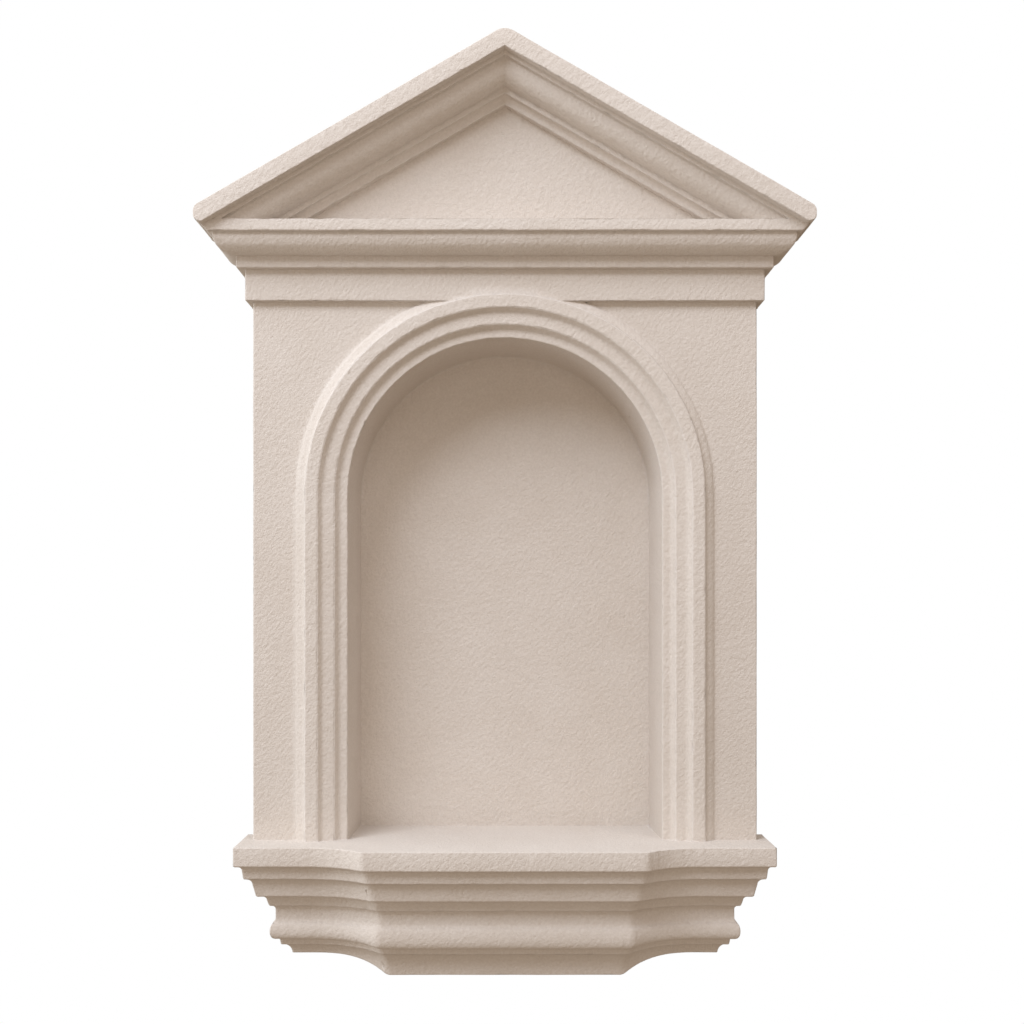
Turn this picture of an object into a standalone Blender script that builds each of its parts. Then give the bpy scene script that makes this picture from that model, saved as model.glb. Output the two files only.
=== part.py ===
"""Wall niche with a pediment, a round arch and a breakfront shelf, cast in one piece of stone.

The wall is the plane y = 0 and the front faces -Y. The surround and the shelf stand in front of the
wall, and the box of the niche goes back through it. The origin is on the wall behind the corbel.
Heights are counted from the top of the shelf, which is also the floor of the niche. A projection is
counted forwards and sideways from the faces of the shaft, the flat panel around the arch.
"""

import math

import bmesh
import bpy

# Place of the origin
SHELF_TOP = 0.062

# Niche
NICHE_WIDTH = 0.3146
SPRING_HEIGHT = 0.3448
NICHE_DEPTH = 0.0865
NICHE_DRAFT = 0.0045
NICHE_WALL = 0.020
ARCH_STEPS = 64

# Architrave, three flat bands that step forwards away from the opening, and an edge mould
INNER_BAND = 0.0087
INNER_SET_BACK = 0.0015
MIDDLE_BAND = 0.0124
MIDDLE_PROJECTION = 0.005
OUTER_BAND = 0.0134
OUTER_PROJECTION = 0.011
STEP_RUN = 0.0038
EDGE_WIDTH = 0.0068
EDGE_TOP = 0.0065
EDGE_FOOT = 0.003
EDGE_RUN = 0.0012

# Shaft
SHAFT_MARGIN = 0.0424
CROWN_MARGIN = 0.0354
SHAFT_DEPTH = 0.034

# Level cornice, from the top of the shaft upwards
FRIEZE_HEIGHT = 0.0311
FRIEZE_PROJECTION = 0.0068
BED_FILLET_HEIGHT = 0.0113
BED_FILLET_PROJECTION = 0.0144
OVOLO_STEP = 0.0014
OVOLO_RUN = 0.018
OVOLO_HEIGHT = 0.0167
OVOLO_NECK = 0.0026
CROWN_FILLET_HEIGHT = 0.012
CROWN_FILLET_STEP = 0.0045
RETURN_RISE = 0.0069
RETURN_FLARE = 0.0065

# Pediment, its mouldings counted square to the slope
PITCH = math.radians(30.0)
SLAB_THICKNESS = 0.0176
SLAB_PROJECTION = 0.048
SLAB_OVERHANG = 0.0497
SLAB_END_HEIGHT = 0.0153
SLAB_END_DROP = 0.0054
SLAB_ARRIS_ROUND = 0.0022
SLAB_TOP_ROUND = 0.0045
SLAB_FOOT_ROUND = 0.0065
APEX_ROUND = 0.0086
RAKE_SET_BACK = 0.0004
RAKE_FILLET_HEIGHT = 0.0039
RAKE_NECK = 0.0024
RAKE_OVOLO_HEIGHT = 0.0175
RAKE_BAND_HEIGHT = 0.0052
RAKE_BAND_STEP = 0.0026
RAKE_HOLLOW_HEIGHT = 0.0046
RAKE_HOLLOW_RUN = 0.005
RAKE_EDGE_HEIGHT = 0.0029
TYMPANUM_SET_BACK = 0.002

# Shelf and corbel: plan
SHELF_OVERHANG = 0.0115
SHELF_DEPTH = 0.080
BREAK_WIDTH = 0.274
BREAK_PROJECTION = 0.024
BREAK_RUN = 0.055
BREAK_STEPS = 12
BREAK_CORNER_ROUND = 0.0035

# Shelf and corbel: mouldings from the top down. A slope is how far a face leans in over its height.
SHELF_ARRIS_ROUND = 0.0009
SHELF_HEIGHT = 0.0196
SHELF_FOOT_ROUND = 0.0022
FILLET_SET_IN = 0.0051
FILLET_SHOULDER = 0.004
FILLET_SLOPE = 0.0012
FILLET_HEIGHT = 0.009
HOLLOW_SET_IN = 0.0077
HOLLOW_HEIGHT = 0.0065
FACE_SLOPE = 0.0026
FACE_HEIGHT = 0.0106
FACE_ROUND = 0.0022
BEAD_SET_IN = 0.0072
BEAD_SHOULDER = 0.005
BEAD_SLOPE = 0.002
BEAD_HEIGHT = 0.0062
NECK_SET_IN = 0.0054
NECK_SHOULDER = 0.004
NECK_HEIGHT = 0.0095
NECK_FLARE = 0.0015
NECK_FLARE_HEIGHT = 0.0037
ROLL_BULGE = 0.0037
ROLL_TUCK = 0.0047
ROLL_HEIGHT = 0.0165
FOOT_FILLET_SET_IN = 0.0043
FOOT_FILLET_SHOULDER = 0.0022
FOOT_FILLET_SLOPE = 0.0008
FOOT_FILLET_HEIGHT = 0.0046
WING_COVE_SET_IN = 0.010
WING_COVE_HEIGHT = 0.0106
BREAK_ROLL_EXTRA = 0.004
BREAK_COVE_SET_IN = 0.0143
BREAK_COVE_HEIGHT = 0.0239
UNDERSIDE_SWEEP = 1.5

# How far a solid runs on inside its neighbour, and a cutter past what it cuts
BED = 0.005
CURVE_STEPS = 8
CORNER_STEPS = 4
FLAT_ANGLE = 0.0005
TOLERANCE = 1e-6

# Sizes that follow from those above
niche_radius = NICHE_WIDTH / 2
architrave_width = INNER_BAND + MIDDLE_BAND + OUTER_BAND + 2 * STEP_RUN + EDGE_WIDTH + 3 * EDGE_RUN
shaft_half = niche_radius + architrave_width + SHAFT_MARGIN
shaft_height = SPRING_HEIGHT + niche_radius + CROWN_MARGIN
ovolo_projection = BED_FILLET_PROJECTION + OVOLO_STEP + OVOLO_RUN
crown_projection = ovolo_projection + CROWN_FILLET_STEP
cornice_height = (
    FRIEZE_HEIGHT + BED_FILLET_HEIGHT + OVOLO_HEIGHT + OVOLO_NECK + CROWN_FILLET_HEIGHT
)
cornice_top = shaft_height + cornice_height
slab_foot = cornice_top - SLAB_END_DROP
slab_half = shaft_half + SLAB_OVERHANG
apex_height = slab_foot + SLAB_END_HEIGHT + slab_half * math.tan(PITCH)


def quarter(start, end, leaves_level):
    """Points after start, up to end, on a quarter of an ellipse in an (across, height) plane.

    The curve leaves start level and reaches end upright, or the other way round.
    """
    points = []
    for step in range(1, CURVE_STEPS + 1):
        turn = 0.5 * math.pi * step / CURVE_STEPS
        leading = math.sin(turn)
        trailing = 1.0 - math.cos(turn)
        across, along = (leading, trailing) if leaves_level else (trailing, leading)
        points.append((
            start[0] + (end[0] - start[0]) * across,
            start[1] + (end[1] - start[1]) * along,
        ))
    return points


def merge_flat_faces(bm):
    """Make one face of those on the wall, of those at the floor, and of others that share a plane."""
    for axis in (1, 2):
        level = [face for face in bm.faces if all(vert.co[axis] == 0.0 for vert in face.verts)]
        bmesh.ops.dissolve_faces(bm, faces=level, use_verts=True)
    bmesh.ops.dissolve_limit(
        bm, angle_limit=FLAT_ANGLE, verts=bm.verts, edges=bm.edges, use_dissolve_boundaries=False,
    )


def add_solid(name, bm):
    """Turn a bmesh into an object that stands at its height above the origin."""
    merge_flat_faces(bm)
    bmesh.ops.recalc_face_normals(bm, faces=bm.faces)
    mesh = bpy.data.meshes.new(name)
    bm.to_mesh(mesh)
    bm.free()
    solid = bpy.data.objects.new(name, mesh)
    solid.location.z = SHELF_TOP
    bpy.context.collection.objects.link(solid)
    return solid


def loft(rings):
    """A bmesh of quads through rings of equally many points, and the two end rings' vertices."""
    bm = bmesh.new()
    loops = [[bm.verts.new(point) for point in ring] for ring in rings]
    for lower, upper in zip(loops, loops[1:]):
        for here in range(len(lower)):
            after = (here + 1) % len(lower)
            bm.faces.new((lower[here], lower[after], upper[after], upper[here]))
    return bm, loops[0], loops[-1]


def closed_loft(rings):
    """A closed bmesh through rings, with a flat face on each end ring."""
    bm, first, last = loft(rings)
    bm.faces.new(reversed(first))
    bm.faces.new(last)
    return bm


def cornice_profile():
    """(height, sideways, forwards) up the shaft and the level cornice."""
    points = [(-BED, 0.0), (shaft_height, 0.0), (shaft_height, FRIEZE_PROJECTION)]
    height = shaft_height + FRIEZE_HEIGHT
    points += [(height, FRIEZE_PROJECTION), (height, BED_FILLET_PROJECTION)]
    height += BED_FILLET_HEIGHT
    ovolo_foot = BED_FILLET_PROJECTION + OVOLO_STEP
    points += [(height, BED_FILLET_PROJECTION), (height, ovolo_foot)]
    curve = quarter((ovolo_foot, height), (ovolo_projection, height + OVOLO_HEIGHT), True)
    points += [(level, across) for across, level in curve]
    height += OVOLO_HEIGHT + OVOLO_NECK
    points += [(height, ovolo_projection), (height, crown_projection)]
    levels = [(level, projection, projection) for level, projection in points]
    flared = crown_projection + RETURN_FLARE
    levels += [
        (height + RETURN_RISE, flared, crown_projection),
        (cornice_top, flared, crown_projection),
    ]
    return levels


def shaft_and_cornice():
    """The flat panel and the level cornice, whose mouldings return to the wall on both sides."""
    rings = []
    for height, sideways, forwards in cornice_profile():
        half = shaft_half + sideways
        front = -(SHAFT_DEPTH + forwards)
        rings.append([(-half, 0, height), (-half, front, height), (half, front, height), (half, 0, height)])
    return add_solid("wall_niche", closed_loft(rings))


def rake_profile():
    """(depth below the slope, projection) of the raking cornice, from its top edge down."""
    depth = SLAB_THICKNESS
    # The raking mouldings stand just behind the level ones, so that no two of their faces share a plane.
    fillet = crown_projection - RAKE_SET_BACK
    ovolo_top = ovolo_projection - RAKE_SET_BACK
    ovolo_foot = ovolo_top - OVOLO_RUN
    points = [(0.0, SLAB_PROJECTION), (depth, SLAB_PROJECTION), (depth, fillet)]
    depth += RAKE_FILLET_HEIGHT
    points += [(depth, fillet), (depth, ovolo_top)]
    depth += RAKE_NECK
    points.append((depth, ovolo_top))
    curve = quarter((ovolo_top, depth), (ovolo_foot, depth + RAKE_OVOLO_HEIGHT), False)
    points += [(level, across) for across, level in curve]
    depth += RAKE_OVOLO_HEIGHT
    band = ovolo_foot - OVOLO_STEP
    points += [(depth, band), (depth + RAKE_BAND_HEIGHT, band)]
    depth += RAKE_BAND_HEIGHT
    hollow = band - RAKE_BAND_STEP
    points.append((depth, hollow))
    edge = hollow - RAKE_HOLLOW_RUN
    curve = quarter((hollow, depth), (edge, depth + RAKE_HOLLOW_HEIGHT), True)
    points += [(level, across) for across, level in curve]
    depth += RAKE_HOLLOW_HEIGHT + RAKE_EDGE_HEIGHT
    points += [(depth, edge), (depth, -TYMPANUM_SET_BACK)]
    return points


def round_edges(bm, radius, steps, edges):
    """Round some edges of a bmesh."""
    bmesh.ops.bevel(
        bm, geom=edges, offset=radius, segments=steps, profile=0.5, affect="EDGES", clamp_overlap=True,
    )
    bmesh.ops.remove_doubles(bm, verts=bm.verts, dist=TOLERANCE)
    bm.normal_update()


def edges_through(bm, x, z):
    """The edges that run from front to back through a place in the front view."""
    return [
        edge for edge in bm.edges
        if all(math.hypot(vert.co.x - x, vert.co.z - z) < TOLERANCE for vert in edge.verts)
    ]


def slab_arris(bm):
    """The edges around the front of the slab, from one foot over the apex to the other."""
    front = -(SHAFT_DEPTH + SLAB_PROJECTION)
    return [
        edge for edge in bm.edges
        if all(abs(vert.co.y - front) < TOLERANCE for vert in edge.verts)
        and any(face.normal.y > -0.5 and face.normal.z > -0.8 for face in edge.link_faces)
    ]


def pediment():
    """The two raking cornices, mitred at the apex, with the tympanum between them."""
    profile = rake_profile()
    lowest = apex_height - slab_half * math.tan(PITCH) - profile[-1][0] / math.cos(PITCH) - BED
    rings = []
    for x in (-slab_half, 0.0, slab_half):
        edge = apex_height - abs(x) * math.tan(PITCH)
        ring = [(x, 0, edge)]
        for depth, projection in profile:
            ring.append((x, -(SHAFT_DEPTH + projection), edge - depth / math.cos(PITCH)))
        ring.append((x, -(SHAFT_DEPTH - TYMPANUM_SET_BACK), lowest))
        ring.append((x, 0, lowest))
        rings.append(ring)
    bm = closed_loft(rings)
    cut = bmesh.ops.bisect_plane(
        bm, geom=bm.verts[:] + bm.edges[:] + bm.faces[:],
        plane_co=(0, 0, slab_foot), plane_no=(0, 0, 1), clear_inner=True,
    )
    cut_edges = [item for item in cut["geom_cut"] if isinstance(item, bmesh.types.BMEdge)]
    bmesh.ops.holes_fill(bm, edges=cut_edges)
    bmesh.ops.recalc_face_normals(bm, faces=bm.faces)
    for x in (-slab_half, slab_half):
        round_edges(bm, SLAB_FOOT_ROUND, CORNER_STEPS, edges_through(bm, x, slab_foot))
        round_edges(bm, SLAB_TOP_ROUND, CORNER_STEPS, edges_through(bm, x, slab_foot + SLAB_END_HEIGHT))
    round_edges(bm, APEX_ROUND, CORNER_STEPS, edges_through(bm, 0, apex_height))
    round_edges(bm, SLAB_ARRIS_ROUND, CORNER_STEPS, slab_arris(bm))
    return add_solid("pediment", bm)


def arch_path(radius, foot):
    """(x, z) points from the left foot up, round the arch and down to the right foot."""
    points = [(-radius, foot)]
    for step in range(ARCH_STEPS + 1):
        turn = math.pi * step / ARCH_STEPS
        points.append((-radius * math.cos(turn), SPRING_HEIGHT + radius * math.sin(turn)))
    points.append((radius, foot))
    return points


def architrave():
    """The middle and outer bands and the edge mould, run round the arch and bedded in the shaft."""
    middle_start = niche_radius + INNER_BAND
    middle_end = middle_start + STEP_RUN + MIDDLE_BAND
    outer_start = middle_end + STEP_RUN
    outer_end = outer_start + OUTER_BAND
    edge_start = outer_end + EDGE_RUN
    edge_end = edge_start + EDGE_WIDTH
    shaft_line = edge_end + 2 * EDGE_RUN
    slope = (shaft_line - edge_end) / EDGE_FOOT
    section = [
        (middle_start, -BED),
        (middle_start, MIDDLE_PROJECTION),
        (middle_end, MIDDLE_PROJECTION),
        (outer_start, OUTER_PROJECTION),
        (outer_end, OUTER_PROJECTION),
        (edge_start, EDGE_TOP),
        (edge_end, EDGE_FOOT),
        (shaft_line + slope * BED, -BED),
    ]
    paths = [arch_path(radius, -BED) for radius, projection in section]
    rings = []
    for station in zip(*paths):
        rings.append([
            (x, -(SHAFT_DEPTH + projection), z)
            for (x, z), (radius, projection) in zip(station, section)
        ])
    return add_solid("architrave", closed_loft(rings))


def arch_rings(sections, foot):
    """Arch-shaped rings, one behind the other, from (radius, y) pairs."""
    return [[(x, y, z) for x, z in arch_path(radius, foot)] for radius, y in sections]


def niche_box():
    """The outside of the niche, from inside the shaft to behind the wall."""
    back = NICHE_DEPTH - SHAFT_DEPTH + INNER_SET_BACK + NICHE_WALL
    outside = niche_radius - NICHE_DRAFT + NICHE_WALL
    rings = arch_rings([(outside, -SHAFT_DEPTH / 2), (outside, back)], -NICHE_WALL)
    return add_solid("niche_box", closed_loft(rings))


def recess():
    """The space of the niche, with the inner band let into the shaft and the step to the middle band."""
    band_y = INNER_SET_BACK - SHAFT_DEPTH
    band_edge = niche_radius + INNER_BAND
    slope = STEP_RUN / (MIDDLE_PROJECTION + INNER_SET_BACK)
    clear = OUTER_PROJECTION + BED + INNER_SET_BACK
    sections = [
        (band_edge + slope * clear, band_y - clear),
        (band_edge, band_y),
        (niche_radius, band_y),
        (niche_radius - NICHE_DRAFT, band_y + NICHE_DEPTH),
    ]
    return add_solid("recess", closed_loft(arch_rings(sections, 0.0)))


def shelf_profile(roll_extra, cove_set_in, cove_height):
    """(set in, height) down the mouldings of the shelf, from the edge of its top."""
    points = [(SHELF_ARRIS_ROUND, 0.0)]

    def run(set_in, drop):
        points.append((points[-1][0] + set_in, points[-1][1] - drop))

    def curve(set_in, drop, leaves_level):
        end = (points[-1][0] + set_in, points[-1][1] - drop)
        points.extend(quarter(points[-1], end, leaves_level))

    curve(-SHELF_ARRIS_ROUND, SHELF_ARRIS_ROUND, True)
    run(0.0, SHELF_HEIGHT - SHELF_ARRIS_ROUND - SHELF_FOOT_ROUND)
    curve(SHELF_FOOT_ROUND, SHELF_FOOT_ROUND, False)
    curve(FILLET_SET_IN, FILLET_SHOULDER, True)
    run(FILLET_SLOPE, FILLET_HEIGHT)
    curve(HOLLOW_SET_IN, HOLLOW_HEIGHT, True)
    run(FACE_SLOPE, FACE_HEIGHT)
    curve(FACE_ROUND, FACE_ROUND, False)
    curve(BEAD_SET_IN, BEAD_SHOULDER, True)
    run(BEAD_SLOPE, BEAD_HEIGHT)
    curve(NECK_SET_IN, NECK_SHOULDER, True)
    run(0.0, NECK_HEIGHT)
    run(-NECK_FLARE, NECK_FLARE_HEIGHT)
    roll = (ROLL_HEIGHT + roll_extra) / 2
    curve(-ROLL_BULGE, roll, True)
    curve(ROLL_TUCK, roll, False)
    curve(FOOT_FILLET_SET_IN, FOOT_FILLET_SHOULDER, True)
    run(FOOT_FILLET_SLOPE, FOOT_FILLET_HEIGHT)
    curve(cove_set_in, cove_height, True)
    return points


def shelf_front(wing, centre):
    """(x, y, z) along the front of one level, from the left end to the right.

    The two wings are joined to the breakfront by hollow quadrants, centred in front of the wings, and
    the corners of the breakfront are softly rounded. wing and centre are the level's (set in, height)
    on each, and the quadrants pass between them.
    """
    radius = (BREAK_RUN ** 2 + BREAK_PROJECTION ** 2) / (2 * BREAK_PROJECTION)
    outer = radius + centre[0]
    sweep = math.acos((outer - BREAK_PROJECTION) / outer)
    quadrant_x = BREAK_WIDTH / 2 + BREAK_RUN
    shelf_half = shaft_half + SHELF_OVERHANG

    def on_quadrant(turn):
        share = (1.0 - math.cos(turn)) * outer / BREAK_PROJECTION
        reach = radius + wing[0] + (centre[0] - wing[0]) * share
        return (
            quadrant_x - reach * math.sin(turn),
            reach * math.cos(turn) - radius - SHELF_DEPTH,
            wing[1] + (centre[1] - wing[1]) * share ** UNDERSIDE_SWEEP,
        )

    half = [(shelf_half - wing[0], wing[0] - SHELF_DEPTH, wing[1])]
    half += [on_quadrant(sweep * step / BREAK_STEPS) for step in range(BREAK_STEPS)]
    corner = on_quadrant(sweep)
    start = on_quadrant(sweep - BREAK_CORNER_ROUND / outer)
    end = (corner[0] - BREAK_CORNER_ROUND, corner[1], corner[2])
    for step in range(CORNER_STEPS + 1):
        along = step / CORNER_STEPS
        left_over = 1.0 - along
        half.append(tuple(
            left_over ** 2 * first + 2 * along * left_over * middle + along ** 2 * last
            for first, middle, last in zip(start, corner, end)
        ))
    left = [(-x, y, z) for x, y, z in half]
    return left + half[::-1]


def shelf():
    """The shelf and its corbel, whose breakfront reaches lower than its wings."""
    wing_levels = shelf_profile(0.0, WING_COVE_SET_IN, WING_COVE_HEIGHT)
    break_levels = shelf_profile(BREAK_ROLL_EXTRA, BREAK_COVE_SET_IN, BREAK_COVE_HEIGHT)
    rings = []
    for wing, centre in zip(wing_levels, break_levels):
        front = shelf_front(wing, centre)
        back = [(x, 0.0, z) for x, y, z in reversed(front)]
        rings.append(front + back)
    bm, top, bottom = loft(rings)
    for ring in (top, bottom):
        for left in range(len(ring) // 2 - 1):
            right = left + 1
            bm.faces.new((ring[left], ring[right], ring[-1 - right], ring[-1 - left]))
    return add_solid("shelf", bm)


def stone():
    """Warm pale cast stone with a sandy skin."""
    material = bpy.data.materials.new("cast_stone")
    material.use_nodes = True
    shader = material.node_tree.nodes["Principled BSDF"]
    shader.inputs["Base Color"].default_value = (0.66, 0.57, 0.49, 1.0)
    shader.inputs["Roughness"].default_value = 0.92
    shader.inputs["Metallic"].default_value = 0.0
    return material


def cast():
    """Join every part of the surround to the shaft, then take the recess out of it."""
    niche = shaft_and_cornice()
    steps = [
        (pediment(), "UNION"),
        (architrave(), "UNION"),
        (shelf(), "UNION"),
        (niche_box(), "UNION"),
        (recess(), "DIFFERENCE"),
    ]
    for operand, operation in steps:
        operand.hide_render = True
        operand.display_type = "WIRE"
        boolean = niche.modifiers.new(operand.name, "BOOLEAN")
        boolean.operation = operation
        boolean.object = operand
    evaluated = niche.evaluated_get(bpy.context.evaluated_depsgraph_get())
    mesh = bpy.data.meshes.new_from_object(evaluated)
    niche.modifiers.clear()
    niche.data = mesh
    for operand, operation in steps:
        bpy.data.objects.remove(operand)
    mesh.shade_smooth()
    mesh.set_sharp_from_angle(angle=math.radians(25.0))
    mesh.materials.append(stone())
    return niche


for leftover in list(bpy.data.objects):
    bpy.data.objects.remove(leftover)
cast()
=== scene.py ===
import math

import bmesh
import bpy
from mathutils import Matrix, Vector


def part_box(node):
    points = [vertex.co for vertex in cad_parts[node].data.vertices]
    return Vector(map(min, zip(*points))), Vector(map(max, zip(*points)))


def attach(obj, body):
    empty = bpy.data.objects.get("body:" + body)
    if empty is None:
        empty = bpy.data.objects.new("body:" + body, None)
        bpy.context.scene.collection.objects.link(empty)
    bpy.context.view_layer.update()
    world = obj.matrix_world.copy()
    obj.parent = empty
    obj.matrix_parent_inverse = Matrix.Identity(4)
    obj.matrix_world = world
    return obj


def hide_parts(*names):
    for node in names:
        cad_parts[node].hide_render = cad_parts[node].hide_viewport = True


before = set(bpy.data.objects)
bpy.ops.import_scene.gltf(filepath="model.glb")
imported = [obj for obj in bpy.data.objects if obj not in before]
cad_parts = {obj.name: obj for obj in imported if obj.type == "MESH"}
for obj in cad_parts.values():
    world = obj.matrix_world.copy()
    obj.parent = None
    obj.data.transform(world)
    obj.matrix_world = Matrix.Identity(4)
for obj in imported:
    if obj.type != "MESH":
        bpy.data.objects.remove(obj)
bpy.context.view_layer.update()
scene = bpy.context.scene


# Camera
# It stands level on the centreline, at the middle of the recess. The shift lifts the whole niche into
# the picture without leaning its sides.
shaft_face = -0.034
shelf_top = 0.062
eye_distance = 1.4
eye_above_shelf = 0.2398
level = math.radians(90)
bpy.ops.object.select_all(action="DESELECT")
bpy.ops.object.camera_add(
    location=(0, shaft_face - eye_distance, shelf_top + eye_above_shelf),
    rotation=(level, 0, 0),
)
camera = bpy.context.object
camera.name = "camera"
camera.data.lens = 49.22
camera.data.shift_x = 0.0069
camera.data.shift_y = 0.0859
scene.camera = camera


# Studio light
# Soft round boxes stand three metres away. The main one is high on the left and another is at the left
# side, with weaker ones on the right, above and in front, and a warm white room fills the shade. The
# plain tone curve keeps the white behind the niche white.
scene.view_settings.view_transform = "Standard"
room = bpy.data.worlds.new("white_room")
room.use_nodes = True
scene.world = room
nodes = room.node_tree.nodes
links = room.node_tree.links
background = nodes["Background"]
background.inputs["Color"].default_value = (1.0, 0.80, 0.614, 1.0)
background.inputs["Strength"].default_value = 0.35
white = nodes.new("ShaderNodeBackground")
white.inputs["Color"].default_value = (1.0, 1.0, 1.0, 1.0)
seen = nodes.new("ShaderNodeLightPath")
choose = nodes.new("ShaderNodeMixShader")
links.new(seen.outputs["Is Camera Ray"], choose.inputs["Fac"])
links.new(background.outputs["Background"], choose.inputs[1])
links.new(white.outputs["Background"], choose.inputs[2])
links.new(choose.outputs["Shader"], nodes["World Output"].inputs["Surface"])

box_distance = 3.0
box_width = 1.8
aim = Vector((0, 0, 0.35))
for name, side, height, power, colour in (
    ("main", -35, 45, 67.0, (0.83, 0.89, 1.0)),
    ("left", -85, 5, 49.0, (0.885, 0.943, 1.0)),
    ("right", 40, 45, 17.5, (0.95, 0.94, 1.0)),
    ("top", 0, 80, 23.0, (0.78, 0.89, 1.0)),
    ("front", 0, 0, 13.0, (1.0, 0.92, 0.86)),
):
    across = math.cos(math.radians(height))
    towards = Vector((
        math.sin(math.radians(side)) * across,
        -math.cos(math.radians(side)) * across,
        math.sin(math.radians(height)),
    ))
    bpy.ops.object.light_add(
        type="AREA", location=aim + towards * box_distance,
        rotation=(-towards).to_track_quat("-Z", "Y").to_euler(),
    )
    soft_box = bpy.context.object
    soft_box.name = name + "_soft_box"
    soft_box.data.shape = "DISK"
    soft_box.data.size = box_width
    soft_box.data.energy = power
    soft_box.data.color = colour


# Floor
# A plain pale disc well below the niche, out of the picture's foot. It throws a little light back up
# under the mouldings.
floor_drop = 1.20
floor_reach = 1.0
floor_corners = 96
bpy.ops.mesh.primitive_circle_add(
    vertices=floor_corners, radius=floor_reach, fill_type="NGON", location=(0, 0, -floor_drop),
)
floor = bpy.context.object
floor.name = "floor"
bpy.ops.object.transform_apply(location=True, rotation=True, scale=True)
floor_paint = bpy.data.materials.new("floor_paint")
floor_paint.use_nodes = True
floor_shader = floor_paint.node_tree.nodes["Principled BSDF"]
floor_shader.inputs["Base Color"].default_value = (0.45, 0.38, 0.31, 1.0)
floor_shader.inputs["Roughness"].default_value = 0.9
floor.data.materials.append(floor_paint)


# Casting
# The whole niche is one block of cast stone from a mould. Its arrises came out rounded, wavy and
# chipped, and its faces a little uneven. They are rounded, cut into a fine net and then worn.
arris_angle = math.radians(35)
arris_round = 0.001
arris_steps = 3
flat_angle = math.radians(0.3)
smooth_angle = math.radians(40)
same_place = 0.00001
smallest_cell = 0.0003
fine = 0.0036
coarse = 0.010
deep = 0.006
floor_line = shelf_top + 0.0005
arch_foot = 0.395
shaft_top = 0.600
spring = 0.4068
niche_half = 0.158
arris_wear = 1.0
face_wear = 0.15

casting = bpy.data.objects.new("niche_casting", bpy.data.objects["wall_niche"].data.copy())
bpy.context.collection.objects.link(casting)
bpy.ops.object.select_all(action="DESELECT")
casting.select_set(True)
bpy.context.view_layer.objects.active = casting
stone = bpy.data.materials.new("cast_stone")
rounded_arris_stone = bpy.data.materials.new("arris_highlight_and_wear")
casting.data.materials.clear()
casting.data.materials.append(stone)
casting.data.materials.append(rounded_arris_stone)

bpy.ops.object.mode_set(mode="EDIT")
bpy.ops.mesh.select_all(action="SELECT")
bpy.ops.mesh.remove_doubles(threshold=same_place)
bpy.ops.mesh.dissolve_limited(angle_limit=flat_angle)
shape = bmesh.from_edit_mesh(casting.data)
rounded = shape.edges.layers.float.new("bevel_weight_edge")
for edge in shape.edges:
    if edge.calc_face_angle_signed(0.0) > arris_angle:
        edge[rounded] = 1.0
bmesh.update_edit_mesh(casting.data)
bpy.ops.object.mode_set(mode="OBJECT")

arrises = casting.modifiers.new("arrises", "BEVEL")
arrises.width = arris_round
arrises.segments = arris_steps
arrises.limit_method = "WEIGHT"
arrises.use_clamp_overlap = False
arrises.material = 1
bpy.ops.object.modifier_apply(modifier="arrises")

lowest, highest = (Vector(corner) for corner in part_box("wall_niche"))


def in_sight(place, normal):
    """Whether a face stays in sight once the niche is let into its wall."""
    from_middle = math.hypot(place.x, max(place.z - spring, 0))
    in_recess = from_middle < niche_half and place.z > shelf_top - arris_round
    return normal.y < 0.5 and (place.y < 0 or in_recess)


def cut(axis, spacing, *bands):
    """Cut the faces in sight in bands of height, each from foot to head, by planes square to an axis."""
    normal = Vector((0, 0, 0))
    normal[axis] = 1
    bpy.ops.mesh.reveal(select=False)
    bpy.ops.mesh.select_all(action="DESELECT")
    shape = bmesh.from_edit_mesh(casting.data)
    for face in shape.faces:
        place = face.calc_center_median()
        if in_sight(place, face.normal) and any(foot <= place.z < head for foot, head in bands):
            face.select_set(True)
    bmesh.update_edit_mesh(casting.data)
    bpy.ops.mesh.hide(unselected=True)
    start = max(lowest[axis], bands[0][0]) if axis == 2 else lowest[axis]
    end = min(highest[axis], bands[-1][1]) if axis == 2 else highest[axis]
    for count in range(math.ceil((end - start) / spacing)):
        bpy.ops.mesh.select_all(action="SELECT")
        bpy.ops.mesh.bisect(plane_co=normal * (start + spacing * (count + 0.5)), plane_no=normal)


bpy.ops.object.mode_set(mode="EDIT")
for border in (floor_line, arch_foot, shaft_top):
    bpy.ops.mesh.select_all(action="SELECT")
    bpy.ops.mesh.bisect(plane_co=(0, 0, border), plane_no=(0, 0, 1))
shelf_band = (lowest.z - fine, floor_line)
leg_band = (floor_line, arch_foot)
arch_band = (arch_foot, shaft_top)
top_band = (shaft_top, highest.z + fine)
cut(1, deep, shelf_band, leg_band, arch_band, top_band)
cut(0, coarse, leg_band)
cut(2, coarse, top_band)
cut(0, fine, shelf_band, arch_band, top_band)
cut(2, fine, leg_band, arch_band)
bpy.ops.mesh.reveal(select=False)
bpy.ops.mesh.select_all(action="SELECT")
bpy.ops.mesh.remove_doubles(threshold=smallest_cell)
bpy.ops.object.mode_set(mode="OBJECT")

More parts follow.
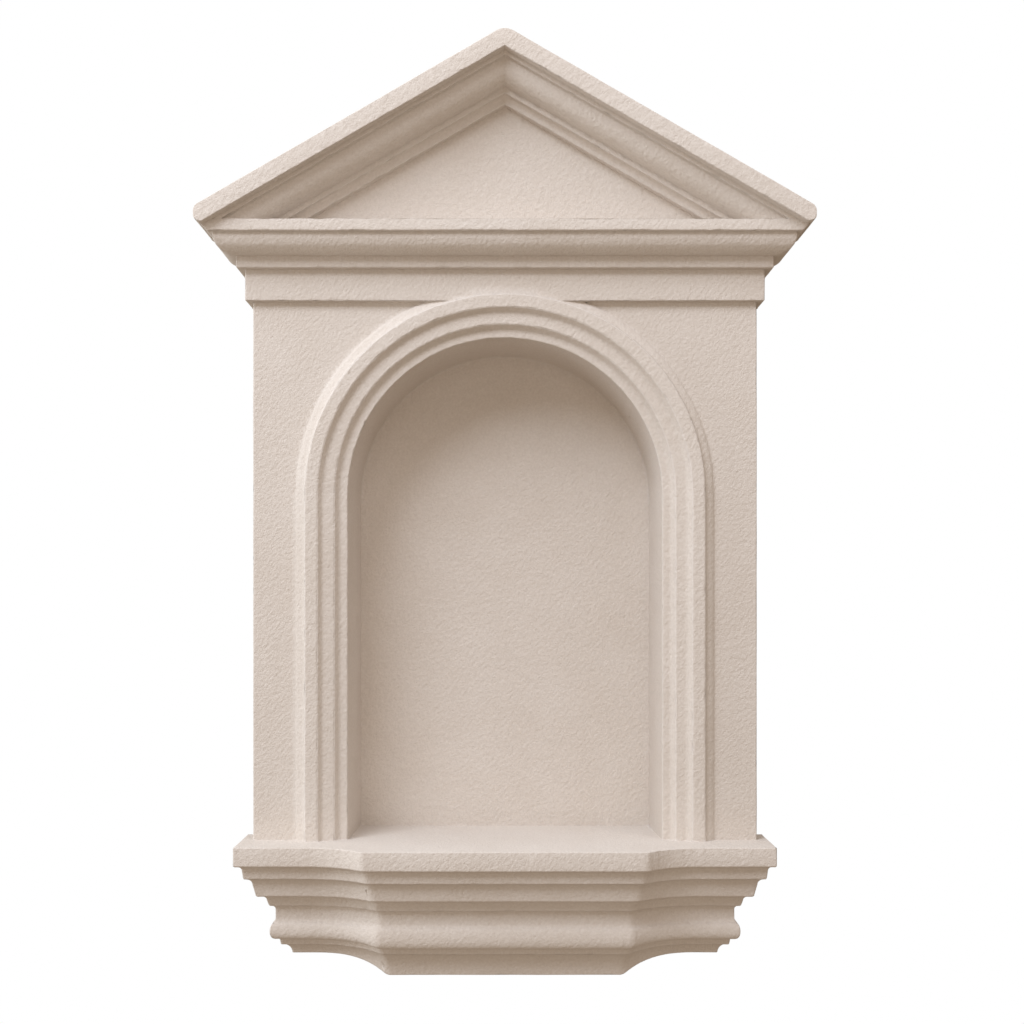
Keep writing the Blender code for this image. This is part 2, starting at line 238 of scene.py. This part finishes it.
plain = set()
rounding = set()
exposed = set()
let_in = set()
for face in casting.data.polygons:
    if face.material_index == 0:
        plain.update(face.vertices)
    else:
        rounding.update(face.vertices)
    if in_sight(face.center, face.normal):
        exposed.update(face.vertices)
    else:
        let_in.update(face.vertices)
exposed -= let_in
on_arris = list((rounding - plain) & exposed)
worn = casting.vertex_groups.new(name="worn")
uneven = casting.vertex_groups.new(name="uneven")
beside_arris = casting.vertex_groups.new(name="beside_arris")
uneven.add(list(exposed), 1.0, "REPLACE")
worn.add(list(exposed), face_wear, "REPLACE")
worn.add(on_arris, arris_wear, "REPLACE")
beside_arris.add(list(rounding & plain), 1.0, "REPLACE")
# The arris vertices are marked for paler paint. It is partly a painted highlight where light catches the
# rounded arrises, and partly the real wear that rubs edges pale.
pale_arris_mark = casting.data.attributes.new("arris_highlight_and_wear", "FLOAT", "POINT")
for index in on_arris:
    pale_arris_mark.data[index].value = 1.0

for name, group, size, contrast, brightness, depth in (
    ("ripples", "worn", 0.009, 1.0, 1.0, 0.0006),
    ("bites", "worn", 0.012, 3.0, 1.6, 0.0009),
    ("unevenness", "uneven", 0.06, 1.0, 1.0, 0.0005),
):
    cloud = bpy.data.textures.new(name, "CLOUDS")
    cloud.noise_scale = size
    cloud.noise_depth = 1
    cloud.contrast = contrast
    cloud.intensity = brightness
    cloud.use_clamp = True
    wear = casting.modifiers.new(name, "DISPLACE")
    wear.texture = cloud
    wear.texture_coords = "LOCAL"
    wear.vertex_group = group
    wear.strength = depth
    wear.mid_level = 1.0
    bpy.ops.object.modifier_apply(modifier=name)
for face in casting.data.polygons:
    face.material_index = 0
casting.data.materials.pop(index=1)
bpy.data.materials.remove(rounded_arris_stone)
bpy.ops.object.shade_smooth_by_angle(angle=smooth_angle)
flat_faces = casting.modifiers.new("flat_faces", "WEIGHTED_NORMAL")
flat_faces.keep_sharp = True
flat_faces.vertex_group = "beside_arris"
bpy.ops.object.modifier_apply(modifier="flat_faces")

# The stone is pale and warm, a little mottled, with sand grains and slanting strokes of the trowel.
mottling_scale = 16
sand_scale = 420
stroke_scale = 300
stroke_lean = math.radians(38)
stroke_length = 1.6
stroke_depth = 0.0008
grain_scale = 600
grain_depth = 0.0005
stone.use_nodes = True
nodes = stone.node_tree.nodes
links = stone.node_tree.links
shader = nodes["Principled BSDF"]
shader.inputs["Roughness"].default_value = 0.95
shader.inputs["Specular IOR Level"].default_value = 0.1
coordinates = nodes.new("ShaderNodeTexCoord")
strokes = nodes.new("ShaderNodeMapping")
strokes.vector_type = "TEXTURE"
strokes.inputs["Rotation"].default_value = (0.0, stroke_lean, 0.0)
strokes.inputs["Scale"].default_value = (1.0, 1.0, stroke_length)
links.new(coordinates.outputs["Object"], strokes.inputs["Vector"])


def noise(scale, detail, roughness, place):
    """Noise over the casting, scale counted in grains to the metre."""
    node = nodes.new("ShaderNodeTexNoise")
    node.inputs["Scale"].default_value = scale
    node.inputs["Detail"].default_value = detail
    node.inputs["Roughness"].default_value = roughness
    links.new(place, node.inputs["Vector"])
    return node.outputs["Fac"]


def ramp(source, low, high):
    """Colours from low to high over the middle of a noise."""
    node = nodes.new("ShaderNodeValToRGB")
    node.color_ramp.elements[0].position = 0.3
    node.color_ramp.elements[0].color = low
    node.color_ramp.elements[1].position = 0.7
    node.color_ramp.elements[1].color = high
    links.new(source, node.inputs["Fac"])
    return node.outputs["Color"]


def blend(kind, amount, under, over):
    """Two colours laid over each other."""
    node = nodes.new("ShaderNodeMix")
    node.data_type = "RGBA"
    node.blend_type = kind
    node.inputs["Factor"].default_value = amount
    links.new(under, node.inputs["A"])
    links.new(over, node.inputs["B"])
    return node.outputs["Result"]


def bump(source, depth, under=None):
    """Relief of the given depth in metres, on top of another."""
    node = nodes.new("ShaderNodeBump")
    node.inputs["Strength"].default_value = 1.0
    node.inputs["Distance"].default_value = depth
    links.new(source, node.inputs["Height"])
    if under:
        links.new(under, node.inputs["Normal"])
    return node.outputs["Normal"]


straight = coordinates.outputs["Object"]
slanting = strokes.outputs["Vector"]
mottling = ramp(
    noise(mottling_scale, 3, 0.55, straight), (0.647, 0.585, 0.523, 1), (0.673, 0.615, 0.557, 1),
)
sand = ramp(noise(sand_scale, 3, 0.55, straight), (0.955, 0.95, 0.945, 1), (1.045, 1.05, 1.055, 1))
body = blend("MULTIPLY", 1.0, mottling, sand)
# The arrises are painted paler: partly a painted highlight of light catching the rounded edges, partly
# real rubbed wear.
highlight_and_wear_share = nodes.new("ShaderNodeAttribute")
highlight_and_wear_share.attribute_name = "arris_highlight_and_wear"
highlight_and_wear_tint = nodes.new("ShaderNodeMix")
highlight_and_wear_tint.data_type = "RGBA"
highlight_and_wear_tint.inputs["B"].default_value = (0.685, 0.63, 0.577, 1)
links.new(highlight_and_wear_share.outputs["Fac"], highlight_and_wear_tint.inputs["Factor"])
links.new(body, highlight_and_wear_tint.inputs["A"])
links.new(highlight_and_wear_tint.outputs["Result"], shader.inputs["Base Color"])
trowelled = bump(noise(stroke_scale, 2, 0.5, slanting), stroke_depth)
sandy = bump(noise(grain_scale, 3, 0.6, straight), grain_depth, trowelled)
links.new(sandy, shader.inputs["Normal"])

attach(casting, "root")
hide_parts("wall_niche")
